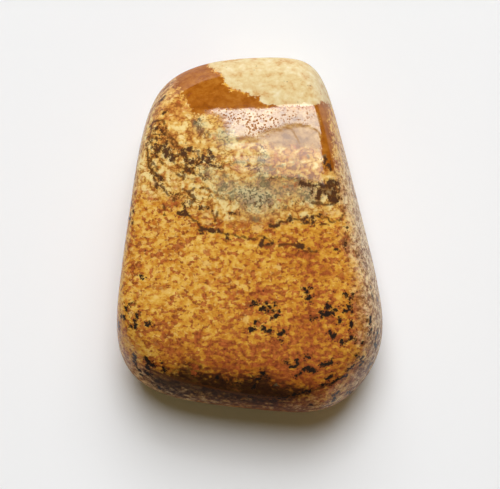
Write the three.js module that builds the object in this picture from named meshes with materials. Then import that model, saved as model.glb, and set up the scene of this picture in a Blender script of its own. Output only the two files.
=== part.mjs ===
// A tumbled and polished picture jasper: one flattish stone with a blunt narrow end and a broad
// heavy end. Long tumbling wears a broken lump down to soft facets, so the stone is described by
// its facets and by how much their meeting edges are rounded away.
//
// Frame: millimetres, +Z up, +Y towards the narrow end. The origin lies on the surface that the
// stone rests on, below the middle of its bounding box.

import * as THREE from "three";
import { mergeVertices } from "three/addons/utils/BufferGeometryUtils.js";

// Driving dimensions. The heart is the point inside the stone that every facet is measured from.
const HEART_HEIGHT = 5.9; // above the resting surface
const REST_WEAR = 0.05; // how much of the underside is worn off flat, where the stone rests
const EDGE_SHARPNESS = 12; // higher leaves tighter edges between the facets

// Each facet: the compass direction that it faces, seen from above (0 = +X, 90 = +Y), its tilt away
// from straight up (0 = level top, 90 = upright side, 180 = underside), both in degrees, and its
// distance from the heart.
const FACETS = {
  top: { facing: 270, tilt: 3, distance: 6.9 },
  northShoulder: { facing: 88, tilt: 14, distance: 8.9 },
  northSlope: { facing: 92, tilt: 48, distance: 15.3 },
  northSide: { facing: 94, tilt: 85, distance: 21.7 },
  northwestSlope: { facing: 126, tilt: 52, distance: 16.7 },
  northwestSide: { facing: 135, tilt: 88, distance: 18.0 },
  northeastSlope: { facing: 50, tilt: 62, distance: 17.7 },
  eastSlope: { facing: 14, tilt: 61, distance: 11.9 },
  eastSide: { facing: 15, tilt: 88, distance: 11.6 },
  eastBulge: { facing: 350, tilt: 88, distance: 15.6 },
  southShoulder: { facing: 264, tilt: 25, distance: 10.2 },
  southSlope: { facing: 263, tilt: 48, distance: 14.6 },
  southeastSlope: { facing: 318, tilt: 53, distance: 15.6 },
  southeastSide: { facing: 318, tilt: 90, distance: 18.1 },
  southSide: { facing: 263, tilt: 80, distance: 16.4 },
  southwestSlope: { facing: 228, tilt: 50, distance: 15.4 },
  southwestSide: { facing: 219, tilt: 88, distance: 17.8 },
  westSlope: { facing: 172, tilt: 69, distance: 15.0 },
  westSide: { facing: 172, tilt: 90, distance: 12.2 },
  eastUnderside: { facing: 10, tilt: 128, distance: 10.8 },
  northUnderside: { facing: 92, tilt: 130, distance: 14.6 },
  westUnderside: { facing: 175, tilt: 128, distance: 11.2 },
  southUnderside: { facing: 268, tilt: 132, distance: 13.6 },
  base: { facing: 0, tilt: 180, distance: HEART_HEIGHT + REST_WEAR },
};

// The mesh starts as a ball split into even triangles and stretched to the stone's rough half sizes,
// so that the triangles come out alike on its flat faces and round its rim.
const BALL_SPLITS = 16;
const HALF_SIZES = new THREE.Vector3(13.2, 17.5, 6.5);

const JASPER_COLOUR = 0xc98a3c;
const POLISH_ROUGHNESS = 0.12;

function facetNormal({ facing, tilt }) {
  const around = THREE.MathUtils.degToRad(facing);
  const down = THREE.MathUtils.degToRad(tilt);
  return new THREE.Vector3(
    Math.sin(down) * Math.cos(around),
    Math.sin(down) * Math.sin(around),
    Math.cos(down),
  );
}

const walls = Object.values(FACETS).map((facet) => ({
  normal: facetNormal(facet),
  distance: facet.distance,
}));

// Distance from the heart to the worn surface along a unit direction. With a very high sharpness
// this is the nearest facet's plane, and a lower one rounds the edges where facets meet.
function surfaceDistance(direction) {
  let sum = 0;
  for (const { normal, distance } of walls) {
    const nearness = Math.max(0, direction.dot(normal)) / distance;
    sum += nearness ** EDGE_SHARPNESS;
  }
  return sum ** (-1 / EDGE_SHARPNESS);
}

function stoneGeometry() {
  const ball = new THREE.IcosahedronGeometry(1, BALL_SPLITS);
  ball.deleteAttribute("normal");
  ball.deleteAttribute("uv");
  const geometry = mergeVertices(ball);
  const points = geometry.getAttribute("position");
  const point = new THREE.Vector3();
  for (let i = 0; i < points.count; i++) {
    point.fromBufferAttribute(points, i).multiply(HALF_SIZES).normalize();
    point.multiplyScalar(surfaceDistance(point));
    point.z = Math.max(point.z + HEART_HEIGHT, 0);
    points.setXYZ(i, point.x, point.y, point.z);
  }
  geometry.computeBoundingBox();
  const middle = geometry.boundingBox.getCenter(new THREE.Vector3());
  geometry.translate(-middle.x, -middle.y, 0);
  geometry.computeVertexNormals();
  return geometry;
}

const stone = new THREE.Mesh(
  stoneGeometry(),
  new THREE.MeshStandardMaterial({
    color: JASPER_COLOUR,
    roughness: POLISH_ROUGHNESS,
    metalness: 0,
  }),
);
stone.name = "picture_jasper";

const jasper = new THREE.Group();
jasper.add(stone);

export default jasper;
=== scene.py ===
import math

import bpy
import numpy as np
from mathutils import Matrix, Vector
from mathutils.kdtree import KDTree


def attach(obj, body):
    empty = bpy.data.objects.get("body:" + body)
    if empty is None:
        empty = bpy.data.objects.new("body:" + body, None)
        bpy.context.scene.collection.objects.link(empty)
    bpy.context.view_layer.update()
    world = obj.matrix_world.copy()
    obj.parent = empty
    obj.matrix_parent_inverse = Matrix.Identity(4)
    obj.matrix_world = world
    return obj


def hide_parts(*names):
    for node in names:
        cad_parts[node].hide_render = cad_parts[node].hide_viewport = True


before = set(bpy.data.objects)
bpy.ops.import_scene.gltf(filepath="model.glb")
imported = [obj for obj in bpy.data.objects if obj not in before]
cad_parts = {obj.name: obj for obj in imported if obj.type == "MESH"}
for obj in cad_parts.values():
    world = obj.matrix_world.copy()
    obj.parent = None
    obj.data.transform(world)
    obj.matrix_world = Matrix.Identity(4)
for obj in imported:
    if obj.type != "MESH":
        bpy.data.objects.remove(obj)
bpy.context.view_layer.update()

MM_PER_METRE = 1000

# The stone's facets, as part.mjs has them: each one's compass direction, its tilt from straight up
# and its distance from the heart in millimetres.
HEART_HEIGHT = 5.9
REST_WEAR = 0.05
EDGE_SHARPNESS = 12
FACETS = {
    "top": (270, 3, 6.9),
    "north_shoulder": (88, 14, 8.9),
    "north_slope": (92, 48, 15.3),
    "north_side": (94, 85, 21.7),
    "northwest_slope": (126, 52, 16.7),
    "northwest_side": (135, 88, 18.0),
    "northeast_slope": (50, 62, 17.7),
    "east_slope": (14, 61, 11.9),
    "east_side": (15, 88, 11.6),
    "east_bulge": (350, 88, 15.6),
    "south_shoulder": (264, 25, 10.2),
    "south_slope": (263, 48, 14.6),
    "southeast_slope": (318, 53, 15.6),
    "southeast_side": (318, 90, 18.1),
    "south_side": (263, 80, 16.4),
    "southwest_slope": (228, 50, 15.4),
    "southwest_side": (219, 88, 17.8),
    "west_slope": (172, 69, 15.0),
    "west_side": (172, 90, 12.2),
    "east_underside": (10, 128, 10.8),
    "north_underside": (92, 130, 14.6),
    "west_underside": (175, 128, 11.2),
    "south_underside": (268, 132, 13.6),
    "base": (0, 180, HEART_HEIGHT + REST_WEAR),
}
HALF_SIZES = np.array([13.2, 17.5, 6.5])  # mm, the stone's rough half sizes
BALL_SPLITS = 128  # quads along each edge of the cube that the ball starts from
TOP_LIFT = 4.5  # mm that the ball is raised by, which packs more of its mesh into the upper side
RIPPLE_COUNT = 14
RIPPLE_SEED = 7
RIPPLE_HEIGHT = 0.0015  # mm
RIPPLE_LENGTHS = (2.6, 7.0)  # mm
FARTHEST = 25.0  # mm, farther from the heart than any point of the surface
HALVINGS = 26  # how often the search for the surface halves that distance

CAMERA_HEIGHT = 230.0  # mm above the paper
VIEW_WIDTH = 50.71  # mm of paper across the picture
SENSOR_WIDTH = 36.0  # mm
NEAREST_SEEN = 0.01  # metres from the camera
MARK_LEVEL = 12.5  # mm above the paper, the level that the marks' millimetres are counted at

FLOOR_SIZE = 3  # metres
FLOOR_DROP = 0.00002  # metres that the paper lies below the stone, so that no two faces share a plane
PAPER_SHADE = (0.84, 0.84, 0.84, 1)
PAPER_ROUGHNESS = 0.9

STROKE_STEP = 0.07  # mm between the dots that a stroke is made of
FADE = 0.6  # mm outside a stroke at which its field ends
THINNEST = 0.19  # mm, the least width that a stroke is drawn with

# The marks of the polished face, in millimetres about the heart. A stroke is its width and then its
# points; a spot is its diameter and one point.
BLACKS = [
    # the dark cluster on the right
    (0.34, (6.7, 5.7), (7.1, 5.7)), (0.34, (7.5, 5.85), (7.9, 6.15)), (0.36, (8.15, 5.95), (8.45, 5.85)),
    (0.25, (7.6, 5.5)), (0.25, (8.1, 5.4)), (0.34, (6.6, 5.2), (6.65, 4.9)), (0.3, (6.45, 4.4)),
    (0.25, (7.1, 5.05)), (0.25, (7.85, 4.95)), (0.25, (8.3, 5)), (0.45, (7.8, 4.35), (8.1, 4.3)),
    (0.28, (8.45, 4.6), (8.5, 4.35)), (0.2, (6.1, 5.6)), (0.2, (5.9, 5)),
    # the cells on the left
    (0.34, (-8.6, 13.75), (-8.2, 14.2)), (0.34, (-8.25, 12.65)), (0.15, (-8.9, 12.55)),
    (0.26, (-8.95, 11.15)), (0.2, (-8.5, 11.05), (-8.35, 10.8), (-8.25, 10.65)), (0.24, (-9.4, 10.15)),
    (0.2, (-9, 10.15)), (0.16, (-7.95, 9.85), (-8, 9.7), (-8.2, 9.5), (-8.6, 9.35), (-8.85, 9.1)),
    (0.16, (-9.1, 9.55), (-9, 9.4), (-8.9, 9.2)), (0.14, (-8.85, 9.1), (-8.6, 8.95), (-8.4, 9)),
    (0.14, (-8.4, 9), (-8.2, 8.85), (-8, 8.7)), (0.2, (-9.1, 8.75), (-9, 8.6), (-8.95, 8.4)),
    (0.2, (-8.2, 9.45), (-8.05, 9.2), (-7.95, 8.95), (-7.85, 8.7)), (0.3, (-7.8, 9.2)),
    (0.44, (-7.9, 8.65)), (0.3, (-8.05, 8.5)), (0.4, (-7.35, 8.25)),
    (0.14, (-7.5, 8.7), (-7.35, 8.45), (-7.25, 8.3)), (0.16, (-7.7, 8.15), (-7.5, 8.1), (-7.3, 8)),
    (0.4, (-6.5, 9)), (0.5, (-6.35, 8.7)), (0.16, (-6.2, 8.4), (-6.15, 8.2)),
    (0.2, (-8.95, 6.65), (-8.7, 6.65)), (0.16, (-8.65, 6.45), (-8.6, 6.25), (-8.4, 6.25)),
    (0.36, (-8.95, 5.65)), (0.16, (-11.05, 6.75)),
    # the cells in the middle
    (0.14, (-5, 11.9), (-4.85, 11.9)), (0.5, (-5.8, 9.1)), (0.4, (-4.5, 8.4)),
    (0.2, (-4.1, 9.05), (-3.85, 8.9), (-3.7, 8.65), (-3.6, 8.4), (-3.8, 8.3), (-4.1, 8.1), (-4.1, 7.9)),
    (0.2, (-6.25, 8.5), (-6.1, 8.2), (-5.95, 8), (-5.9, 7.8), (-5.7, 7.85), (-5.5, 7.95), (-5.3, 7.9)),
    (0.2, (-5.3, 7.9), (-5.1, 7.75), (-4.95, 7.7), (-4.7, 7.95)),
    (0.18, (-4.1, 7.9), (-3.95, 7.75), (-3.7, 7.6), (-3.4, 7.5), (-3.1, 7.45), (-2.85, 7.35), (-2.7, 7.4)),
    (0.25, (-6.1, 7.2), (-5.8, 7.15), (-5.5, 7.1)), (0.3, (4.9, 5.9), (5.3, 5.85), (5.7, 5.75)),
    # the left edge
    (0.2, (-11.4, 4.15), (-11.35, 3.8)), (0.24, (-11.2, 3.2)), (0.2, (-11.45, 3)),
    (0.2, (-11.6, 2.6), (-11.5, 2.35)), (0.2, (-11.25, 2.05)), (0.24, (-12, 0.4)),
    # the two long veins
    (0.18, (-4.8, 3.5), (-4.5, 3.52), (-4.2, 3.5), (-4, 3.45)), (0.18, (-2, 3), (-1.4, 2.95)),
    (0.3, (-6.9, 3), (-6.6, 3.05), (-6.3, 2.95), (-6, 2.85)),
    (0.3, (-4.8, 1.4), (-4.5, 1.45), (-4.1, 1.5), (-3.8, 1.4), (-3.5, 1.3), (-3.2, 1.35), (-3, 1.3)),
    (0.3, (-4.65, 1.2)), (0.22, (-2.2, 0.95), (-2.2, 0.5)),
    (0.2, (2.2, 0.25), (2, 0), (1.7, 0), (1.3, -0.1), (1, -0.1), (1.1, 0.2), (1.3, 0.55)),
    (0.2, (-6.4, 3.9), (-6.25, 3.7), (-6.2, 3.5), (-6.25, 3.2)), (0.32, (4.5, -0.2), (5.05, -0.2)),
    (0.25, (2, 1.8), (2.3, 1.75), (2.6, 1.8), (2.75, 2.05)), (0.44, (3.85, 2.45)),
    (0.2, (5.15, 2.5), (5.4, 2.6), (5.6, 2.65)), (0.25, (5, 2.35), (5.1, 2.15), (5.4, 2.1), (5.6, 2.1)),
    (0.2, (5.6, 2.1), (5.9, 2), (6.05, 2.2), (6, 2.4), (5.9, 2.7)), (0.3, (6.75, 2.7)),
    # the rust strip and the right edge
    (0.2, (7.2, 8.2), (7.2, 7.8)), (0.4, (7.55, 7.6)), (0.25, (7.7, 7.3)), (0.24, (9.3, 1.65)),
    (0.16, (9.15, 0.25), (9.1, -0.05)), (0.18, (8.1, -0.5), (8.3, -0.5)),
    # specks of the lower left
    (0.22, (-10.4, -3), (-10.35, -3.2)), (0.16, (-11.55, -5.7), (-11.3, -5.63), (-11.1, -5.63)),
    (0.26, (-11.9, -6.1), (-11.85, -6.35)), (0.3, (-12.35, -6.9), (-12.2, -6.85), (-12, -7.1)),
    (0.3, (-10.82, -6.7)), (0.2, (-10.85, -6.8), (-10.95, -7)), (0.3, (-12.6, -7.5), (-12.6, -7.8)),
    (0.3, (-11.45, -7.8)), (0.26, (-11, -7.4), (-11, -8.1)), (0.4, (-9.9, -7.65), (-9.75, -7.62)),
    (0.2, (-9.75, -7.6), (-9.68, -7.35)), (0.35, (-11.1, -10.55), (-11.1, -10.9), (-11.1, -11.25)),
    (0.42, (-10, -10.9), (-9.8, -11.2), (-9.75, -11.5), (-9.8, -11.85)), (0.45, (-9.3, -11.6)),
    (0.3, (-9.6, -11.25)), (0.35, (-10.15, -12.05)), (0.4, (-10.6, -12.1)), (0.45, (-10.4, -12.55)),
    (0.5, (-9.8, -12.4)), (0.3, (-8.4, -11.3)), (0.3, (-8.3, -11.8), (-8.1, -12.3)),
    (0.16, (-10.95, -11.5), (-10.85, -11.8)), (0.3, (-8.8, -13.6), (-8.7, -13.8)),
    # specks of the lower middle
    (0.4, (0.4, -5.65)), (0.26, (0.25, -5.8), (0.1, -5.85)), (0.2, (0.65, -5.75)), (0.3, (1.05, -6.2)),
    (0.22, (1.2, -6.15), (1.3, -6), (1.4, -5.95), (1.55, -6.15), (1.7, -6.3), (1.7, -6.5)),
    (0.2, (2.55, -6.28), (2.8, -6.4)), (0.25, (1.95, -6)), (0.22, (2.2, -6.35)), (0.22, (1.6, -5.6)),
    (0.2, (2.35, -5.6), (2.35, -5.8)), (0.3, (2.2, -7), (2.4, -6.9), (2.6, -6.8)),
    (0.22, (0.65, -7.3), (0.5, -7.5), (0.48, -7.7)), (0.36, (0, -8.15), (0.3, -8.1)),
    (0.22, (1.2, -7.85), (1.35, -7.95), (1.25, -8.15)),
    (0.3, (1.5, -8.3), (1.7, -8.35), (1.9, -8.3), (1.95, -8.5)), (0.32, (2.85, -8.65), (3.2, -8.4)),
    (0.26, (2.95, -9.2)), (0.24, (5.9, -7.1)),
    (0.2, (5.15, -4.25), (5.3, -4.3), (5.5, -4.35), (5.75, -4.2)), (0.22, (5.45, -4.5), (5.4, -4.75)),
    (0.4, (5.5, -5.15), (5.75, -5.15)), (0.2, (5.85, -5.35)), (0.34, (3.5, -11.3)),
    (0.26, (4.5, -11.1), (4.6, -11.4), (4.2, -11.75), (3.9, -11.7)), (0.24, (5.4, -10.75), (5.65, -10.85)),
    (0.5, (5.3, -12), (5.6, -11.85), (6.1, -12.1)), (0.3, (1.15, -12.3), (1.35, -12.5), (1.5, -12.7)),
    (0.3, (0.6, -12.85), (0.9, -12.85)), (0.16, (4.4, -12.55), (4.7, -12.5), (4.9, -12.3)),
    # specks of the lower right
    (0.22, (9.1, -4.8), (9.25, -4.75)), (0.18, (9.4, -4.95), (9.55, -5.2)), (0.32, (9.85, -4.8)),
    (0.2, (9.6, -5.7)), (0.22, (9.4, -5.9), (9.45, -6.1), (9.6, -6.2)),
    (0.27, (9, -6.4), (9.2, -6.4), (9.4, -6.35)), (0.24, (9.75, -6.5)), (0.4, (7.4, -5.8)),
    (0.27, (7.6, -5.9), (7.4, -6.1), (7.4, -6.4)), (0.34, (6.8, -6.5)), (0.2, (6.85, -7)),
    (0.37, (7, -6.7), (7.4, -6.7), (7.9, -6.6)), (0.36, (8.2, -6.3)), (0.3, (6.3, -7)),
    (0.17, (8.45, -7.3), (8.6, -7.05), (8.75, -7.2), (8.55, -7.45), (8.45, -7.3)),
    (0.27, (9.7, -7.5), (9.75, -7.85)), (0.3, (7.65, -8.4)), (0.5, (8, -8.8)),
    (0.22, (9.7, -8.8), (9.7, -9.05)), (0.27, (8.75, -9.25), (8.95, -9.45)), (0.3, (9.2, -9.3)),
    (0.28, (10.1, -9.1)), (0.35, (10.25, -10.6)), (0.22, (10.4, -10.8), (10.6, -11), (10.65, -11.2)),
    (0.24, (10.8, -10.8)), (0.24, (10.2, -11)), (0.4, (10.8, -11.3)), (0.2, (11.05, -11.4)),
    (0.26, (10.55, -11.6)), (0.2, (11.5, -11.4), (11.8, -11.4)), (0.4, (11.45, -11.65)),
    (0.37, (7.8, -11.25), (7.4, -11.5), (6.9, -11.55)), (0.26, (9.85, -11.65), (9.6, -11.9), (9.3, -12.1)),
    (0.25, (7.4, -12.85), (7.7, -12.7), (7.9, -12.6)), (0.5, (6.95, -13.5)),
    (0.16, (7.1, -13.35), (7.5, -13.5), (7.8, -13.35), (8.1, -13.2), (8.3, -12.95), (8.6, -12.85)),
    (0.14, (8.6, -12.85), (9, -12.7), (9.3, -12.6)), (0.3, (8, -14.4), (8.1, -14.6), (8, -15)),
    (0.3, (8.4, -14.2)), (0.3, (9.4, -14.15), (9.7, -14.25)), (0.3, (5.8, -15.4), (6, -15.45)),
    # specks of the right bevel
    (0.26, (11.25, -7.25)), (0.26, (11.55, -7), (11.5, -7.5)), (0.24, (11.7, -8.1), (11.5, -8.5)),
    (0.26, (11.9, -8.45)), (0.28, (10.8, -9.4)), (0.28, (12.2, -8.3), (12.2, -8.6), (12.1, -8.9)),
    (0.28, (12, -9.4), (12.1, -9.9)), (0.26, (11.7, -9.35)), (0.22, (11.7, -4.8), (11.8, -5.2)),
    (0.22, (12.2, -5.2), (12.3, -5.6)), (0.26, (11.6, -4.1)), (0.26, (11.6, -6.95)),
    # the dark seam of the lower slope
    (0.16, (2.2, -14.85), (2.9, -14.8), (3.3, -14.65), (3.9, -14.5), (4.3, -14.4), (4.8, -14.35)),
    (0.25, (4.8, -14.35), (5.2, -14.15), (5.5, -14.05), (5.7, -14.1)), (0.45, (-3.1, -12.75)),
    (0.3, (-1.3, -13.4)), (0.3, (0.4, -13.5), (0.35, -13.8)), (0.2, (-0.1, -14.6), (0.3, -14.6)),
]
VEINS = [
    # the dark seam of the lower slope
    (0.3, (-9.5, -12), (-8.25, -12.55), (-6.4, -13.1), (-4.5, -13.5), (-2.6, -14), (-0.8, -14.4)),
    (0.22, (-0.8, -14.4), (1, -14.65), (3, -14.75), (4.4, -14.45), (5.5, -14.2), (7, -13.7)),
    # the dark cluster on the right
    (0.35, (6.9, 5.55), (7.5, 5.6), (8.1, 5.75)), (0.35, (7.95, 4.8), (8, 4.2)),
    (0.3, (6.6, 5), (6.6, 4.4)), (0.3, (6, 4.05), (6.8, 3.95)), (0.2, (7.5, 4.8), (7.6, 4.2)),
    (0.15, (5.4, 5.7), (5.9, 5.5), (6.4, 5.7), (6.9, 5.6)), (0.2, (8.5, 6), (8.6, 5.4), (8.5, 4.9)),
    (0.15, (5.9, 4.05), (6.4, 3.9), (7.2, 3.8), (7.8, 3.85), (8.4, 4.2)),
    # the cells on the left
    (0.18, (-9.35, 11.6), (-9.1, 11.8), (-8.8, 11.9), (-8.3, 11.95), (-8.2, 11.6), (-8.05, 11.3)),
    (0.18, (-8.05, 11.3), (-8, 11), (-8.1, 10.7)), (0.2, (-9.45, 11.3), (-9.5, 11), (-9.35, 10.8)),
    (0.2, (-8.2, 10.55), (-8, 10.5), (-7.7, 10.55)), (0.2, (-7.9, 10.2), (-7.6, 10.3), (-7.3, 10.05)),
    (0.2, (-7.3, 10.05), (-7, 9.7), (-6.9, 9.4)), (0.2, (-7.6, 9.9), (-7.4, 9.6), (-7.2, 9.4)),
    (0.13, (-9.55, 10.75), (-9.7, 10.1), (-9.6, 9.95), (-9.45, 9.75), (-9.4, 9.5), (-9.45, 9.25)),
    (0.14, (-10, 9.6), (-9.85, 9.3), (-9.8, 8.5), (-9.75, 7.9), (-9.7, 7.35), (-9.4, 7.1)),
    (0.12, (-9.65, 8.3), (-9.5, 8.1), (-9.45, 7.8), (-9.55, 7.5)),
    (0.14, (-9.4, 7.9), (-9.2, 7.7), (-9, 7.5), (-8.9, 7.3), (-8.8, 7.15)),
    (0.15, (-8.7, 8.05), (-8.5, 7.95), (-8.35, 7.75)), (0.15, (-7.2, 7.7), (-6.8, 7.5), (-6.65, 7.45)),
    (0.3, (-6.1, 8), (-6.1, 7.7), (-6.2, 7.3), (-6.2, 7)),
    (0.13, (-6.95, 6.75), (-6.6, 6.5), (-6.4, 6.3)), (0.25, (-9.4, 7.05), (-9.2, 6.95), (-9.1, 6.8)),
    (0.2, (-9.2, 6.5), (-9.15, 6.2), (-8.9, 5.8)),
    (0.15, (-8.6, 5.65), (-8.3, 5.5), (-8.25, 5.2), (-8.1, 5.1), (-7.8, 4.7)),
    # the cells in the middle
    (0.15, (-5.9, 7), (-5.5, 6.9), (-5.2, 6.7), (-4.9, 6.65), (-4.7, 6.6), (-4.5, 6.35), (-4.3, 6.2)),
    (0.16, (-6.5, 5.3), (-6.2, 5.15), (-5.9, 5.1), (-5.7, 5.15), (-5.5, 5.3), (-5.3, 5.4)),
    (0.16, (-4.7, 5.4), (-4.4, 5.45), (-4.1, 5.4), (-3.9, 5.25), (-3.8, 5.1)),
    # the two long veins and their side branches
    (0.35, (-5.85, 5), (-5.7, 4.8), (-5.5, 4.65), (-5.35, 4.4), (-5.5, 4.1)),
    (0.2, (-5.8, 4.1), (-5.75, 3.8), (-5.65, 3.65)), (0.2, (-8.3, 3.8), (-8.2, 3.5), (-8.2, 3.3)),
    (0.25, (-8.2, 2.85)), (0.2, (-7.3, 4.6), (-7.3, 4.25)), (0.3, (-7.3, 4.25)),
    (0.15, (-3.6, 3.25), (-3.6, 2.95), (-3.45, 2.75), (-3.3, 2.6), (-3.15, 2.8), (-3.15, 3.1)),
    (0.15, (-3.3, 2.6), (-3.3, 2.4), (-3.4, 2.2)), (0.2, (-1.7, 0.95), (-1.4, 0.95), (-1, 0.65)),
    (0.16, (-6, 2.85), (-5.8, 2.75), (-5.65, 2.5), (-5.3, 2.3), (-5.05, 2.2), (-4.9, 2), (-4.8, 1.4)),
    (0.14, (-3, 1.3), (-2.8, 1.2), (-2.5, 1), (-2.3, 0.95)),
    (0.16, (-0.8, 0.85), (-0.4, 0.6), (0, 0.55), (0.5, 0.5), (0.7, 0.75), (0.95, 0.88), (1.2, 0.75)),
    (0.16, (1.2, 0.75), (1.4, 0.6), (1.7, 0.5), (1.95, 0.35), (2.2, 0.25)), (0.24, (4.65, 0.1)),
    (0.3, (5.65, -0.4)),
    (0.14, (2.8, -0.2), (2.85, -0.05), (3.4, 0), (3.7, 0.05), (4.1, 0), (4.4, -0.15), (4.7, -0.2)),
    (0.13, (5.1, -0.6), (5.5, -0.7), (6.1, -0.7), (6.4, -0.65)),
    (0.13, (2.75, 2.05), (3, 2.25), (3.1, 2.15), (3.4, 2.1), (3.6, 2.2)),
    (0.12, (4.2, 2.5), (4.4, 2.45), (4.7, 2.4), (5, 2.4)), (0.15, (5.9, 2.7), (6.4, 2.75), (6.7, 2.7)),
    (0.15, (7.1, 2.55), (7.4, 2.6), (7.5, 2.4), (7.6, 2.2), (7.9, 2.1), (8.1, 2.2), (8.4, 2.35)),
    (0.15, (8.4, 2.35), (8.65, 2.35), (8.8, 2.6), (8.95, 2.85), (9.1, 3)),
    (0.15, (6.75, 1.9), (7, 2), (7.3, 1.95), (7.5, 1.9)),
]
UMBERS = [
    # the dark cluster on the right
    (1.1, (7, 5.3), (7.5, 5.2), (8, 5.2)), (0.8, (7.95, 4.7), (8, 4.2)),
    (0.4, (6.55, 5), (6.6, 4.3)),
    # on the rust
    (0.15, (-6.1, 14.2), (-5.75, 14.35)), (0.24, (-6.7, 14.75)), (0.2, (6.75, 14.6)),
    # the cells on the left
    (0.15, (-7.5, 7.05), (-7.2, 6.85)), (0.36, (-6.45, 6.55)), (0.3, (-6.3, 6.7)),
    # the cells in the middle
    (0.25, (-4.95, 11.3), (-4.9, 11)), (0.2, (-4.6, 10.8), (-4.8, 10.5)), (0.2, (-4, 10.3)),
    (0.2, (-4.4, 10.8), (-4.1, 10.7), (-3.85, 10.5)), (0.3, (-3.85, 10.5)),
    (0.13, (-5.6, 9), (-5.3, 8.95), (-5.1, 8.85)), (0.2, (-5.5, 6.25), (-5.3, 6)), (0.15, (0.35, 4.7)),
    (0.15, (0.1, 4.4)), (0.15, (1, 4.3)), (0.15, (1.5, 4.25), (1.7, 4.25)), (0.15, (0.1, 5.55)),
    (0.15, (0.8, 5.45)), (0.15, (-0.5, 3.9)), (0.15, (0.5, 3.85)), (0.15, (0, 3.2)), (0.2, (1.9, 3.6)),
    (0.3, (2.3, 3.2)), (0.15, (2.85, 3.6)), (0.34, (3.4, 3.5)),
    # the right side
    (0.6, (8.8, -2.9), (8.75, -3.1)), (0.3, (7.2, -4.6), (7.4, -4.8), (7.8, -4.9)),
    (0.5, (6.1, -11.9), (6.1, -12.3)),
    # blotches of the golden field
    (0.35, (-6.8, -4.8), (-6.3, -4.8)), (0.5, (-4.3, -0.7), (-4.1, -0.75)),
    (0.25, (-1.3, -2.35), (-1, -2.5), (-0.8, -2.65), (-0.5, -2.65), (-0.1, -2.5)),
    (0.3, (-3, -3.3), (-2.9, -3.5), (-2.7, -3.7), (-2.8, -3.85)),
    (0.25, (-2.2, -4.65), (-1.6, -4.6), (-1.2, -4.7)),
    (0.26, (-4.5, -4.1), (-4.4, -4.5), (-4.4, -4.9), (-4.5, -5.05)),
    (0.26, (-2.8, -5.8), (-2.1, -5.6), (-1.9, -5.15), (-1.6, -5.1)),
    # blotches of the lower field
    (0.5, (-9.25, -9.2), (-9.1, -9.5), (-8.8, -9.55)), (0.32, (-7.9, -10.2), (-7.7, -10), (-7.3, -10.3)),
    (0.4, (-10.3, -7.55), (-10.35, -7.85)), (0.55, (-4.95, -8.6), (-4.75, -8.75)),
    (0.3, (-2.7, -7.25), (-2.5, -7.35), (-1.9, -7.3), (-1.6, -7.15)),
    (0.3, (-1.8, -8.5), (-1.5, -8.3), (-1.2, -8.65), (-1, -8.6)), (0.6, (-2.6, -9.5), (-1.85, -9.5)),
    (0.28, (-1, -9.7), (-1.05, -10.05), (-0.8, -10.2), (-0.55, -10.3)),
    (0.45, (-1.5, -11.45), (-1.3, -11.75)), (0.26, (-5.9, -9.35), (-5.3, -9.5), (-4.95, -9.1)),
    (0.4, (-4.1, -11.1), (-4.3, -11.3), (-4.8, -11.2)), (0.6, (-5.5, -11.7), (-5.1, -11.8)),
    (0.6, (-5.4, -12.3)), (0.4, (1.5, -9.5), (1.8, -9.75), (2.1, -10.05)),
    (0.45, (0.5, -10.5), (0.5, -10.7)),
    (0.24, (4, -10.3), (4.2, -10.5), (4.1, -10.75), (4.4, -10.9), (4.5, -11.1)),
    (0.4, (1.7, -11.25), (2, -11.2)), (0.35, (1.2, -11.5), (0.8, -11.5), (0.3, -11.6)),
    (0.5, (2.4, -11.6), (3, -11.8)),
]
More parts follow.
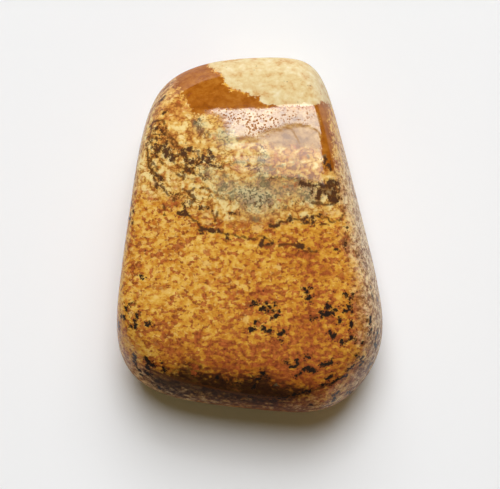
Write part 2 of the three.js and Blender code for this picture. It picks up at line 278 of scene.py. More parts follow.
RUSSETS = [
    # on the rust and in the cells
    (0.5, (-6.8, 13.7)), (0.4, (-6.2, 13.1)), (0.15, (-9.2, 12.3), (-8.8, 12.5)),
    (0.15, (-8.4, 12), (-7.7, 12.1)), (0.15, (-7.9, 12.5), (-7.3, 12.5)),
    (0.15, (-6.7, 12.5), (-6.5, 12.85), (-6.1, 12.85), (-5.9, 12.5), (-6.1, 12.15), (-6.5, 12.15)),
    (0.12, (-8.7, 6.65), (-8.3, 6.85), (-8, 6.95)),
    (0.13, (-8.4, 6.3), (-7.9, 6.1), (-7.6, 6.1), (-7.3, 6.2), (-7, 6.15), (-6.7, 6.05)),
    (0.13, (-7.3, 5.5), (-6.9, 5.3), (-6.5, 5.3), (-6.2, 5.2)), (0.16, (-10.4, 6.5), (-10.4, 6.1)),
    (0.3, (-4.2, 10.2)), (0.35, (-3.9, 9.9), (-4.1, 9.75)), (0.4, (-3.4, 10.2)),
    (0.12, (-2.7, 7.4), (-2.4, 7.55), (-1.8, 7.65)), (0.13, (-5.3, 6), (-5, 6.3), (-4.8, 6.25)),
    (0.4, (-1.1, 7.5)), (0.3, (-0.7, 6.8)), (0.3, (-0.75, 8.3), (-0.75, 8.7)),
    # under the sheen of the shoulder
    (0.55, (2.5, 8), (2.5, 8.5)), (0.14, (3, 8.45), (3.6, 8.35), (4, 8.4)), (0.3, (4.9, 8.2)),
    (0.3, (4.5, 7.7)), (0.3, (4.2, 9.4)), (0.3, (5.9, 9.2)), (0.3, (5.7, 7.2)), (0.3, (1.1, 8.65)),
    (0.3, (1.5, 9.4)), (0.16, (3.3, 5.6), (3.6, 5.6)), (0.35, (4.4, 5.7)), (0.14, (2.7, 4.3), (3, 4.1)),
    # the left side
    (0.3, (-10.65, 4.4)), (0.16, (-9.75, 5), (-9.7, 4.7), (-9.5, 4.3), (-9.35, 4.05)),
    (0.3, (-7.9, 4.05), (-7.3, 4.05), (-6.8, 3.9)), (0.55, (-9.1, 1.5), (-8.8, 1.4)),
    # the middle and the right
    (0.35, (-6.3, 4.4)), (0.6, (-0.6, 1.8)), (0.4, (6.7, -0.3), (6.7, 0.2)),
    # blotches of the golden field
    (0.4, (-11, -4.65), (-10.8, -4.7), (-10.7, -5)),
    (0.32, (-9.4, -4.05), (-9, -4.15), (-8.6, -4.2), (-8.2, -4.1), (-7.95, -3.9)),
    (0.35, (2.2, -2.75), (2.5, -2.9), (2.7, -2.6)), (0.6, (5.3, -3.7)), (0.8, (1, -4.5), (1.7, -4.5)),
    (0.6, (5, -7.6)),
    # blotches of the lower field
    (0.35, (-10.95, -9), (-10.9, -9.5), (-10.8, -10.1)), (0.6, (5.3, -9.1)),
]
OLIVES = [
    (0.3, (-10.7, 8.45)), (0.5, (-5.3, 11.7), (-5.1, 11.5)), (0.4, (-2.5, 10.8)),
    (0.22, (-1.9, 10.9), (-1.5, 10.7)), (0.3, (-2, 9.85), (-1.8, 9.65)),
    (0.28, (-1.4, 10.2), (-1.2, 10.1)), (0.16, (-5, 8.9), (-4.95, 8.5), (-4.9, 8.35)),
    (0.16, (-4.95, 7.7), (-4.6, 7.6), (-4.3, 7.5), (-4.1, 7.35), (-3.95, 7.15)),
    (0.14, (-1.8, 7.65), (-1.4, 7.95), (-1.1, 7.9), (-0.6, 7.95), (-0.2, 8.05)),
    (0.16, (-4.3, 7.1), (-4.3, 6.9), (-4.1, 6.8), (-4, 6.5), (-4.05, 6.25)), (0.3, (-2.4, 5.55)),
    (0.5, (-2.8, 5.3)), (0.28, (-2.5, 6.7), (-2.35, 6.55)), (0.3, (-1.65, 5.85)),
    (0.2, (1.2, 8.6), (1.8, 8.4)), (0.14, (0.8, 8.3), (0.75, 8.1), (1.2, 8), (1.4, 7.9)),
    (0.3, (3.2, 7.5)), (0.13, (2, 7.5), (3, 7.5)), (0.16, (2, 7.2), (2.4, 7.3), (2.5, 6.9)),
    (0.14, (1.1, 6.85), (1.7, 6.9)), (0.3, (1.2, 6.4), (1.4, 6.15)),
    (0.17, (2.1, 6.3), (2.6, 6.45), (3.3, 6.45), (3.9, 6.4), (4.3, 6.25), (4.7, 6.2), (4.8, 5.9)),
    (0.14, (4.7, 6.6), (4.7, 6.3)), (0.3, (1.7, 5.9), (1.7, 5.5)), (0.5, (1.2, 5.8)), (0.28, (0.1, 5.5)),
    (0.28, (0.8, 5.4)), (0.2, (5.6, 8.5), (5.65, 8.3)), (0.3, (6.5, 5.7)), (0.2, (7, 8.4), (7.3, 8.5)),
    (0.5, (-1.75, 4.45)), (0.16, (-1.9, 5), (-1.5, 5.1)), (0.2, (-3.1, 4.5), (-2.5, 4.4)),
    (0.2, (-3.4, 5.05), (-3.2, 5)), (0.5, (5.5, 4.5)), (0.35, (0.2, 2.4), (0.7, 2.4)),
    (0.3, (12, -10.05)), (0.3, (2.5, -13.5)), (0.3, (10.85, -13.15)),
]
CREAMS = [
    # the cells
    (0.7, (-7.6, 14.8)), (0.9, (-7.8, 13.7)), (0.5, (-8.3, 13.4)), (0.9, (-7.4, 11.6), (-6.7, 11)),
    (0.6, (-7.6, 10.8)), (0.7, (-6.3, 11.5)), (0.3, (-8.4, 9.2)), (0.6, (-8.4, 8.6), (-7.9, 8.1)),
    (0.3, (-8.85, 7.7)), (0.4, (-8.3, 7.3)), (0.4, (-7.8, 7)), (0.4, (-8, 5.45)), (0.5, (-7.2, 8.9)),
    (0.35, (-7.1, 6.5), (-6.9, 6.5)), (0.4, (-8.75, 10.9)), (0.5, (-6.2, 9.6), (-3.4, 9.6)),
    (0.6, (-5.6, 8.5)), (0.35, (-5.7, 7.6), (-5.3, 7.6)), (0.5, (-4.7, 8.75)),
    (0.35, (-3.6, 7.8), (-3, 7.8)), (0.4, (-2.3, 7.2)), (0.6, (-1.3, 6.5), (-0.4, 6.8)),
    (0.5, (-0.5, 8.4)), (0.9, (-4.1, 5.8)), (0.45, (-4.5, 5.1)), (0.4, (-2.3, 6.2)),
    (0.3, (-6.1, 6.4), (-5.5, 6.4)), (0.5, (-8.6, 12.1)), (0.5, (-9.5, 12.6)), (0.6, (-6.3, 12.5)),
    (0.5, (-5, 9.9), (-4.6, 10.2)), (0.4, (-9.2, 9.7)), (0.4, (-10.2, 8.8)), (0.35, (-10.2, 7.3)),
    (0.6, (7.8, 6.65), (8.1, 6.65)), (0.28, (-7.6, 5.25)), (0.35, (-9.7, 4)), (0.35, (-9.35, 4.95)),
    # the middle and the right
    (0.4, (-5, 4.7), (-4.8, 4.7)), (0.35, (-5.4, 3.9)), (0.45, (-5.3, 3.3)), (0.5, (-4.2, 2.9)),
    (0.35, (-4.4, 2.1), (-3.8, 2.1)), (0.28, (-2.5, 3.2)), (0.3, (-1.7, 3.8)),
    (0.6, (0.5, 1.5), (0.9, 1.5)), (0.6, (7.2, 3.5), (7.5, 3.5)), (0.4, (-4.5, -1.9), (-4, -1.9)),
    (0.45, (2.65, -2.2), (2.8, -2.2)),
    # the lower field
    (0.5, (-11.5, -6.6)), (0.45, (-0.4, -7), (-0.4, -7.3)),
]
ABOVE = {
    "black": BLACKS, "vein": VEINS, "umber": UMBERS, "russet": RUSSETS, "olive": OLIVES, "cream": CREAMS,
}

# Where the net of dark veins shows, as wide strokes in the same millimetres.
NET = [
    (1.3, (-9.3, 11.6), (-8.7, 10.6), (-8.4, 9.8), (-8.9, 9), (-7.8, 8.7), (-6.8, 8.6), (-6.1, 8.1)),
    (1.3, (-6.1, 8.1), (-5.4, 7.6), (-4.6, 8.3), (-3.8, 7.9)), (0.7, (-9.8, 10.3), (-9.8, 8.4), (-9.3, 7)),
    (0.6, (-9.3, 7), (-8.9, 6.1), (-8, 5.1), (-6.9, 4.7), (-5.9, 4.2)), (0.7, (-6.6, 7.4), (-6.3, 6.4)),
    (0.6, (-4.6, 7.2), (-4.3, 6.3), (-4, 5.3)),
    (0.5, (-3.6, 7.6), (-1, 7.8), (1.2, 7), (1.2, 9.4)),
    (0.4, (1.4, 6.2), (3, 6.6), (5, 6.2), (6.4, 5.6)),
    (0.3, (-5.8, 4.2), (-3, 4.8), (0, 3.6), (3, 3.8), (6, 4.2)), (0.4, (-5.2, 11.8), (-4.4, 10.4)),
]

# Areas of the polished face, as outlines in the same millimetres. Each goes down through the stone.
RUST = (
    (-7.8, 17.4), (-4.1, 17.6), (-4, 17), (-3.6, 16.85), (-3.55, 16.45), (-2.8, 16.4), (-2.75, 16.1),
    (-2.55, 15.95), (-2.6, 15.4), (-2.2, 15.25), (-2.1, 14.95), (-2, 14.75), (-1, 14.72), (-0.8, 14.6),
    (-0.15, 14.5), (0, 14.2), (1.05, 14.1), (0.85, 13.8), (1.3, 13.6), (1.45, 13.35), (2.2, 13.4),
    (3.2, 13.15), (4.4, 13.3), (5.4, 13.2), (6.15, 13.35), (6.4, 13.5), (6.75, 13.6), (6.95, 13.75),
    (7.1, 13.6), (7.5, 13.5), (7.8, 13.4), (7.45, 13), (7.5, 12), (7.6, 11), (7.8, 10), (7.9, 9),
    (8.05, 8), (8.05, 7.5), (7.9, 7.1), (7.3, 7.1), (7, 7.6), (6.85, 8.6), (6.8, 9.6), (6.8, 11),
    (6.7, 12.2), (6.3, 12.9), (5, 13.1), (2, 13.1), (0, 13), (-1.6, 13), (-2.6, 12.9),
    (-3.4, 12.9), (-4, 12.6), (-4.9, 12.4), (-5.3, 12.3), (-5.6, 12.9),
    (-5.9, 13.6), (-6.5, 14.5), (-6.6, 15), (-7, 15.2), (-7, 15.9), (-7.8, 16.6),
)
CAP = (
    (-4.2, 20), (-4, 17), (-2.8, 16.4), (-2.2, 15.25), (-1, 14.7), (0, 14.2), (1.4, 13.35),
    (4, 13.1), (6.4, 13.3), (7.6, 13.2), (9.5, 12.6), (10.5, 20),
)
CELLS = (
    (-13, 9), (-9.5, 15.5), (-7, 15.5), (-5.4, 12.5), (-2, 12.3), (1, 10.8), (6, 11.4),
    (7.4, 7.4), (9, 6.6), (9.5, 3.5), (6, 2.8), (2, 2), (-2, 2.1), (-4.8, 2.8), (-6.2, 4),
    (-9, 4.6), (-12.5, 6),
)
# the dark layer along the bottom, also painted shade of the lower slope, which faces away from the light
DARK_LAYER_AND_SHADE = (
    (-9.6, -12.5), (-7, -12.3), (-5.8, -11.6), (-5, -11.7), (-4.9, -12.4), (-4, -12.5), (-3, -12.5),
    (-2, -12.9), (-1, -12.9), (0, -12.7), (0.6, -12.8), (1.2, -12.3), (1.7, -12.8), (2.2, -13.2),
    (3, -13.6), (3.8, -13.7), (4.7, -13.9), (5.6, -14), (5.4, -14.4), (4.3, -14.7), (3.3, -15),
    (2.5, -15.2), (0, -15.1), (-3, -14.8), (-6, -14.3), (-8, -14), (-9.2, -13.4),
)
TAN = (
    (-3.9, 13.1), (6.2, 13.2), (6.9, 12), (6.9, 9.2), (5.4, 9.2), (4.2, 9.5), (2.6, 9.3), (1.2, 9.9),
    (-0.6, 9.9), (-1.4, 10.7), (-1.9, 11.6), (-2.9, 12.2),
)
FACE = (
    (-12.6, -10.5), (-13.2, -6), (-12.4, 0), (-11.3, 6.5), (-9.9, 12), (-8.5, 15), (-5, 17.6),
    (6, 18.2), (8, 16), (8.6, 10), (8.9, 5), (9.3, 0.5), (9.9, -3), (10.5, -6.5), (10.5, -10),
    (9.6, -12.8), (7.2, -14.4), (3, -15.2), (-1, -14.8), (-5, -14), (-9.5, -12.6),
)
AREAS = {"face": FACE, "tan": TAN, "rust": RUST, "cap": CAP, "cells": CELLS, "dark_layer_and_shade": DARK_LAYER_AND_SHADE}

# Broad changes of tone: a place, its radius in millimetres and how much paler the stone is painted there.
# The darker patches along the bottom and at the lower right are painted shade of the slopes that turn away
# from the light; the paler ones on the right edge are painted light and reflection of the pale paper.
TONES_AND_PAINTED_LIGHT = (
    (-10, 3, 4, 0.035), (-8, -2, 4, 0.035), (5.5, -1, 3.8, -0.1), (8.5, -8, 4.5, -0.08),
    (-9, -11, 3.5, -0.05), (0, -12.8, 5, -0.12), (6, -12.5, 4.5, -0.12), (-4, -12.5, 3.5, -0.05),
    (0.5, 4.4, 2.4, -0.01), (4, 7.5, 3.2, -0.09), (1.5, -17.5, 4.5, -0.15), (11, 2, 3.5, 0.05),
    (10.5, 9, 3, 0.1), (-7.7, 12.7, 2.4, -0.14),
)
# Where the polish has small pits: a place, its radius in millimetres and how wide the pits are.
PITS = (
    (-2.6, 12.4, 1.2, 0.9), (-1, 12, 1.2, 0.7), (0.6, 12.2, 1.2, 0.7), (2.2, 12.2, 1.2, 0.65),
    (3.8, 12.4, 1.2, 0.65), (5.4, 12.3, 1.2, 0.75), (0.3, 10.8, 1, 0.8), (2, 11, 1, 0.5),
    (1, 8.5, 0.8, 0.8),
)
# Hazy places: a place, its radius in millimetres and how thick the haze is.
HAZES = (
    (-2.4, 10.3, 0.9, 0.9), (0.4, 4.4, 1.4, 0.8), (1.8, 4.7, 1.4, 0.7), (-2.4, 5.6, 1, 0.8),
    (-0.8, 5, 1, 0.6), (-4.8, 11.4, 0.6, 0.7), (1.1, 6.8, 0.8, 0.7), (5.6, 5, 1.1, 0.9),
    (1.2, 8.2, 0.6, 0.7), (3.6, 5.4, 1, 0.6), (-4, 6.9, 0.8, 0.5), (4.4, 7.8, 0.6, 0.4),
)


def facet_walls():
    facing, tilt, distance = np.array(list(FACETS.values())).T
    around, down = np.radians(facing), np.radians(tilt)
    normals = np.stack([np.sin(down) * np.cos(around), np.sin(down) * np.sin(around), np.cos(down)], 1)
    return normals, distance


def reach(points):
    """How far out points lie from the heart: 1 on the surface, less inside it."""
    normals, distance = facet_walls()
    nearness = np.maximum(points @ normals.T, 0) / distance
    return (nearness**EDGE_SHARPNESS).sum(1) ** (1 / EDGE_SHARPNESS)


def cube_ball(splits):
    """A cube of even quads blown up to a unit ball: its points and its quads."""
    steps = np.arange(splits + 1)
    across, along = (grid.ravel() for grid in np.meshgrid(steps, steps, indexing="ij"))
    first = (np.arange(splits)[:, None] * (splits + 1) + np.arange(splits)).ravel()
    square = np.stack([first, first + splits + 1, first + splits + 2, first + 1], 1)
    places, quads = [], []
    for axis in range(3):
        for side in (0, splits):
            face = np.empty((len(across), 3), int)
            face[:, axis] = side
            face[:, (axis + 1) % 3] = across
            face[:, (axis + 2) % 3] = along
            quads.append((square if side else square[:, ::-1]) + len(places) * len(across))
            places.append(face)
    places, index = np.unique(np.concatenate(places), axis=0, return_inverse=True)
    ball = np.tan((places / splits - 0.5) * math.pi / 2)
    ball /= np.linalg.norm(ball, axis=1, keepdims=True)
    return ball, index.ravel()[np.concatenate(quads)]


def ripples(points):
    """Slight unevenness of the polished surface, in millimetres."""
    chance = np.random.default_rng(RIPPLE_SEED)
    ways = chance.normal(size=(RIPPLE_COUNT, 3))
    ways /= np.linalg.norm(ways, axis=1, keepdims=True)
    lengths = chance.uniform(*RIPPLE_LENGTHS, RIPPLE_COUNT)
    starts = chance.uniform(0, 2 * math.pi, RIPPLE_COUNT)
    waves = np.sin(points @ (ways / lengths[:, None]).T * 2 * math.pi + starts)
    return RIPPLE_HEIGHT * waves.sum(1)


def stone_surface():
    """Points of the stone about its heart, in millimetres, and its quads."""
    ball, quads = cube_ball(BALL_SPLITS)
    directions = ball * HALF_SIZES + [0, 0, TOP_LIFT]
    directions /= np.linalg.norm(directions, axis=1, keepdims=True)
    points = directions / reach(directions)[:, None]
    points += directions * ripples(points)[:, None]
    points[:, 2] = np.maximum(points[:, 2], -HEART_HEIGHT)
    return points, quads


def way_out(starts, ways):
    """Where lines that start inside the stone come out of it."""
    near, far = np.zeros(len(starts)), np.full(len(starts), FARTHEST)
    for _ in range(HALVINGS):
        middle = (near + far) / 2
        inside = reach(starts + ways * middle[:, None]) < 1
        near, far = np.where(inside, middle, near), np.where(inside, far, middle)
    return starts + ways * near[:, None]


def seen_from_above(places):
    """Marks given in the millimetres that the camera sees, as points of the surface."""
    eye = CAMERA_HEIGHT - HEART_HEIGHT
    starts = np.column_stack([places * eye / (CAMERA_HEIGHT - MARK_LEVEL), np.zeros(len(places))])
    ways = np.array([0, 0, eye]) - starts
    return way_out(starts, ways / np.linalg.norm(ways, axis=1, keepdims=True))


def stroke_dots(stroke):
    """Places about STROKE_STEP apart along a stroke."""
    corners = np.array(stroke[1:], float)
    if len(corners) == 1:
        return corners
    lengths = np.concatenate([[0], np.cumsum(np.linalg.norm(np.diff(corners, axis=0), axis=1))])
    steps = np.linspace(0, lengths[-1], int(lengths[-1] / STROKE_STEP) + 2)
    return np.column_stack([np.interp(steps, lengths, corners[:, axis]) for axis in (0, 1)])


def drawn(strokes, tree, count):
    """At each of the surface's points, how far it lies inside the nearest stroke, in millimetres."""
    dots = [stroke_dots(stroke) for stroke in strokes]
    halves = np.repeat([max(stroke[0], THINNEST) / 2 for stroke in strokes], [len(group) for group in dots])
    field = [-FADE] * count
    for place, half in zip(seen_from_above(np.concatenate(dots)), halves):
        for _, index, gap in tree.find_range(place, FADE + half):
            if half - gap > field[index]:
                field[index] = half - gap
    return np.array(field)


def inside_outline(places, outline):
    """How far places lie inside an outline, in millimetres; less than nothing outside it."""
    corners = np.array(outline)
    gap = np.full(len(places), np.inf)
    inside = np.zeros(len(places), bool)
    for first, last in zip(corners, np.roll(corners, -1, axis=0)):
        edge = last - first
        share = np.clip((places - first) @ edge / (edge @ edge), 0, 1)
        gap = np.minimum(gap, np.linalg.norm(places - first - share[:, None] * edge, axis=1))
        crosses = (first[1] > places[:, 1]) != (last[1] > places[:, 1])
        rise = edge[1] if edge[1] else 1.0
        inside ^= crosses & (places[:, 0] < first[0] + edge[0] * (places[:, 1] - first[1]) / rise)
    return np.where(inside, gap, -gap)


def soft_patches(places, patches):
    """The sum of soft round patches at each place."""
    total = np.zeros(len(places))
    for across, along, radius, amount in patches:
        total += amount * np.exp(-((places - [across, along]) ** 2).sum(1) / radius**2)
    return total


def paint_fields(mesh, points):
    """Stores on the mesh the fields that the material draws its marks from."""
    level = (CAMERA_HEIGHT - HEART_HEIGHT - points[:, 2]) / (CAMERA_HEIGHT - MARK_LEVEL)
    places = points[:, :2] / level[:, None]
    tree = KDTree(len(points))
    for index, point in enumerate(points):
        tree.insert(point, index)
    tree.balance()
    fields = {kind: drawn(strokes, tree, len(points)) for kind, strokes in ABOVE.items()}
    fields["net"] = drawn(NET, tree, len(points))
    for name, outline in AREAS.items():
        fields[name] = inside_outline(places, outline)
    # the stone's own broad tone, with painted shade along the bottom and painted light on the right edge
    fields["tone"] = soft_patches(places, TONES_AND_PAINTED_LIGHT)
    fields["haze"] = soft_patches(places, HAZES)
    fields["pits"] = soft_patches(places, PITS)
    for name, values in fields.items():
        mesh.attributes.new(name, "FLOAT", "POINT").data.foreach_set("value", values.astype(np.float32))


def make_mesh(name, points, quads):
    mesh = bpy.data.meshes.new(name)
    mesh.from_pydata(points, [], quads.tolist())
    mesh.shade_smooth()
    return mesh


def colour(red, green, blue):
    """A colour given in the usual 0 to 255, as the shader takes it."""
    shares = np.array([red, green, blue]) / 255
    linear = np.where(shares < 0.04045, shares / 12.92, ((shares + 0.055) / 1.055) ** 2.4)
    return (*linear.tolist(), 1.0)


class Painter:
    """Adds nodes to a material; each method gives back the socket of what it has made."""

    def __init__(self, name):
        self.material = bpy.data.materials.new(name)
        self.material.use_nodes = True
        self.tree = self.material.node_tree
        self.shader = self.tree.nodes["Principled BSDF"]

    def feed(self, socket, value):
        if isinstance(value, bpy.types.NodeSocket):
            self.tree.links.new(value, socket)
        else:
            socket.default_value = value

    def node(self, kind, inputs, **settings):
        made = self.tree.nodes.new("ShaderNode" + kind)
        for setting, value in settings.items():
            setattr(made, setting, value)
        for socket, value in inputs.items():
            self.feed(made.inputs[socket], value)
        return made

    def math(self, operation, first, second=0.0):
        return self.node("Math", {0: first, 1: second}, operation=operation).outputs[0]

    def plus(self, first, *others):
        for other in others:
            first = self.math("ADD", first, other)
        return first

    def times(self, first, second):
        return self.math("MULTIPLY", first, second)

    def scaled(self, place, scale):
        return self.node("VectorMath", {0: place, 1: scale}, operation="MULTIPLY").outputs[0]

    def noise(self, place, scale, detail=2.0, roughness=0.5):
        """Noise about nought, most of it within 0.2."""
        inputs = {"Vector": place, "Scale": scale, "Detail": detail, "Roughness": roughness}
        return self.math("SUBTRACT", self.node("TexNoise", inputs).outputs["Fac"], 0.5)

    def warped(self, place, scale, amount):
        """The place moved about by noise, in millimetres."""
        moved = self.node("TexNoise", {"Vector": place, "Scale": scale, "Detail": 1.0}).outputs["Color"]
        moved = self.node("VectorMath", {0: moved, 1: (0.5, 0.5, 0.5)}, operation="SUBTRACT").outputs[0]
        moved = self.scaled(moved, (amount * 2, amount * 2, amount * 2))
        return self.node("VectorMath", {0: place, 1: moved}, operation="ADD").outputs[0]

    def cell_gap(self, place, scale):
        """How far each place is from the edge of its cell, in cells."""
        inputs = {"Vector": place, "Scale": scale}
        return self.node("TexVoronoi", inputs, feature="DISTANCE_TO_EDGE").outputs["Distance"]

    def cell_middle(self, place, scale):
        """How far each place is from the middle of its cell, in cells."""
        return self.node("TexVoronoi", {"Vector": place, "Scale": scale}).outputs["Distance"]

    def step(self, value, low, high):
        inputs = {"Value": value, "From Min": low, "From Max": high}
        return self.node("MapRange", inputs, interpolation_type="SMOOTHSTEP").outputs["Result"]

    def blend(self, share, under, over):
        return self.node("Mix", {0: share, 6: under, 7: over}, data_type="RGBA").outputs[2]

    def lay(self, under, over, value, low, high, strength=1.0):
        """One colour laid over another as a value passes from low to high."""
        return self.blend(self.times(self.step(value, low, high), strength), under, over)

    def field(self, name):
        return self.node("Attribute", {}, attribute_name=name).outputs["Fac"]

    def ramp(self, value, stops):
        made = self.node("ValToRGB", {0: value})
        elements = made.color_ramp.elements
        while len(elements) < len(stops):
            elements.new(0.5)
        for element, (position, shade) in zip(elements, stops):
            element.position = position
            element.color = shade
        return made.outputs[0]


GOLDEN_RAMP = (
    (0.26, colour(170, 100, 34)), (0.40, colour(199, 133, 44)), (0.52, colour(214, 156, 56)),
    (0.64, colour(225, 176, 78)), (0.76, colour(234, 196, 110)),
)
RUSSET_RAMP = ((0.36, colour(116, 52, 28)), (0.5, colour(158, 76, 38)), (0.64, colour(190, 102, 50)))
CELL_RAMP = (
    (0.26, colour(166, 100, 44)), (0.40, colour(199, 139, 62)), (0.52, colour(215, 169, 84)),
    (0.66, colour(230, 204, 138)),
)
CAP_RAMP = (
    (0.36, colour(196, 152, 94)), (0.45, colour(208, 178, 124)), (0.55, colour(214, 192, 142)),
    (0.70, colour(222, 206, 166)),
)
RUST_RAMP = ((0.3, colour(138, 72, 14)), (0.5, colour(158, 90, 22)), (0.7, colour(174, 108, 34)))
TAN_RAMP = ((0.3, colour(132, 86, 42)), (0.5, colour(170, 124, 70)), (0.7, colour(196, 156, 100)))
# the dark layer's colours, darkened further as painted shade of the lower slope
DARK_AND_SHADE_RAMP = ((0.35, colour(32, 22, 16)), (0.5, colour(64, 40, 22)), (0.66, colour(112, 66, 32)))
# the sides' colours, painted paler as light and the reflection of the pale paper
SIDE_AND_REFLECTION_RAMP = ((0.3, colour(110, 78, 54)), (0.45, colour(184, 154, 116)), (0.64, colour(236, 219, 186)))
BLACK_MARK = colour(24, 20, 21)
SOOT_MARK = colour(76, 48, 30)
VEIN_MARK = colour(84, 48, 22)
UMBER_MARK = colour(96, 60, 36)
CELL_RIM = colour(134, 76, 32)
PIT_MARK = colour(158, 92, 34)
OLIVE_MARK = colour(98, 92, 68)
FRECKLE = colour(92, 50, 34)
PALE_MARK = colour(230, 188, 106)
ORANGE_MARK = colour(200, 124, 56)
RUDDY_MARK = colour(186, 92, 42)
HAZE_SHADE = colour(178, 168, 134)


class JasperPainter(Painter):
    """A painter that has the noises and the layers that all of the stone's colours share."""

    def __init__(self, name):
        super().__init__(name)
        self.place = self.scaled(self.node("TexCoord", {}).outputs["Object"], (MM_PER_METRE,) * 3)
        flow = self.scaled(self.place, (0.8, 1.0, 1.0))
        self.broad = self.noise(self.place, 0.42, 2.0)
        self.grain = self.noise(flow, 1.5, 3.0, 0.6)
        self.blotches = self.noise(flow, 2.3, 2.0, 0.6)
        self.flecks = self.noise(flow, 2.9, 2.0, 0.55)
        self.specks = self.noise(self.place, 5.0, 1.0)
        self.jag = self.noise(self.place, 3.4, 2.0, 0.6)
        # tone: the stone's own broad tone, with painted shade along the bottom and painted light on the
        # right edge
        self.tone = self.field("tone")
        wave = self.plus(self.times(self.broad, 0.4), self.times(self.jag, 0.25))
        self.level = self.plus(0.5, self.grain, wave, self.tone)

        # how much of each layer shows, with a ragged edge between none and all of it
        edge = self.times(self.jag, 1.1)
        wide_edge = self.times(edge, 2.0)
        self.cell_reach = self.plus(self.field("cells"), self.times(self.broad, 2.0))
        # the dark layer along the bottom carries painted shade of the lower slope as well
        dark_and_shade_reach = self.plus(self.field("dark_layer_and_shade"), wide_edge, self.times(self.blotches, 2.0))
        self.in_cells = self.step(self.cell_reach, -0.8, 0.8)
        self.in_dark_and_shade = self.step(dark_and_shade_reach, -1.2, 0.5)
        self.in_tan = self.step(self.plus(self.field("tan"), wide_edge), -0.5, 0.5)
        self.in_cap = self.step(self.plus(self.field("cap"), edge), -0.06, 0.06)
        self.in_rust = self.step(self.plus(self.field("rust"), edge), -0.06, 0.06)


def russet_shade(paint):
    level = paint.plus(0.5, paint.times(paint.jag, 0.8), paint.times(paint.grain, 0.4))
    return paint.ramp(level, RUSSET_RAMP)


def golden_body(paint, russet):
    """The golden ground, blotched with reddish brown and flecked with cream."""
    golden = paint.ramp(paint.level, GOLDEN_RAMP)
    golden = paint.lay(golden, RUDDY_MARK, paint.flecks, -0.05, -0.12, 0.5)
    golden = paint.lay(golden, PALE_MARK, paint.plus(paint.flecks, paint.tone), 0.04, 0.16, 0.6)
    reddish = paint.plus(paint.blotches, paint.times(paint.broad, -0.3), paint.times(paint.tone, -0.4))
    return paint.lay(golden, russet, reddish, 0.01, 0.09, 0.85)


def pale_cells(paint):
    """The pale cells, each rimmed with brown."""
    gap = paint.cell_gap(paint.warped(paint.place, 1.4, 0.8), 1.0)
    inner = paint.times(paint.math("SUBTRACT", gap, 0.12), 0.7)
    cells = paint.ramp(paint.plus(paint.level, inner), CELL_RAMP)
    cells = paint.lay(cells, ORANGE_MARK, paint.blotches, 0.04, 0.14, 0.5)
    rims = paint.plus(gap, paint.times(paint.jag, 0.3), paint.times(paint.grain, 0.5))
    return paint.lay(cells, CELL_RIM, rims, 0.08, -0.01, 0.65)


def add_haze(paint, stone):
    """Hazy places with olive specks."""
    haze = paint.field("haze")
    stone = paint.blend(paint.times(haze, 0.6), stone, HAZE_SHADE)
    return paint.lay(stone, OLIVE_MARK, paint.specks, 0.0, 0.1, paint.times(haze, 0.8))


def add_sides(paint, stone):
    """The peppered sides, painted paler with light and with the reflection of the pale paper."""
    reach_in = paint.plus(paint.field("face"), paint.times(paint.jag, 2.0), paint.times(paint.broad, 3.0))
    side = paint.step(reach_in, 1.2, -1.8)
    level = paint.plus(paint.level, paint.times(paint.blotches, -0.6), paint.times(paint.jag, 0.3))
    stone = paint.blend(paint.times(side, 0.75), stone, paint.ramp(level, SIDE_AND_REFLECTION_RAMP))
    return paint.lay(stone, FRECKLE, paint.specks, 0.02, 0.12, paint.times(side, 0.6))


def add_layers(paint, stone):
    """The tan, dark, cream and rust layers that cross the stone; the dark one along the bottom is also
    painted shade of the lower slope, which faces away from the light.
    """
    stone = paint.blend(paint.in_tan, stone, paint.ramp(paint.level, TAN_RAMP))
    # the dark layer, painted darker as shade of the lower slope
    stone = paint.blend(paint.times(paint.in_dark_and_shade, 0.92), stone, paint.ramp(paint.level, DARK_AND_SHADE_RAMP))
    cloud = paint.times(paint.noise(paint.place, 0.9, 3.0, 0.7), 0.7)
    cloud = paint.plus(0.5, cloud, paint.times(paint.grain, 0.5))
    stone = paint.blend(paint.in_cap, stone, paint.ramp(cloud, CAP_RAMP))
    return paint.blend(paint.in_rust, stone, paint.ramp(paint.level, RUST_RAMP))


def add_net(paint, stone):
    """The net of dark veins between the cells."""
    net = paint.field("net")
    thread = paint.cell_gap(paint.warped(paint.place, 1.6, 0.4), 1.7)
    thread = paint.plus(thread, paint.times(paint.jag, 0.3), paint.times(net, -0.1))
    bare = paint.math("SUBTRACT", paint.in_cells, paint.math("MAXIMUM", paint.in_tan, paint.in_rust))
    veined = paint.math("MAXIMUM", paint.step(net, -0.5, 0.2), paint.times(bare, 0.45))
    return paint.lay(stone, VEIN_MARK, thread, 0.07, -0.02, paint.times(veined, 0.9))


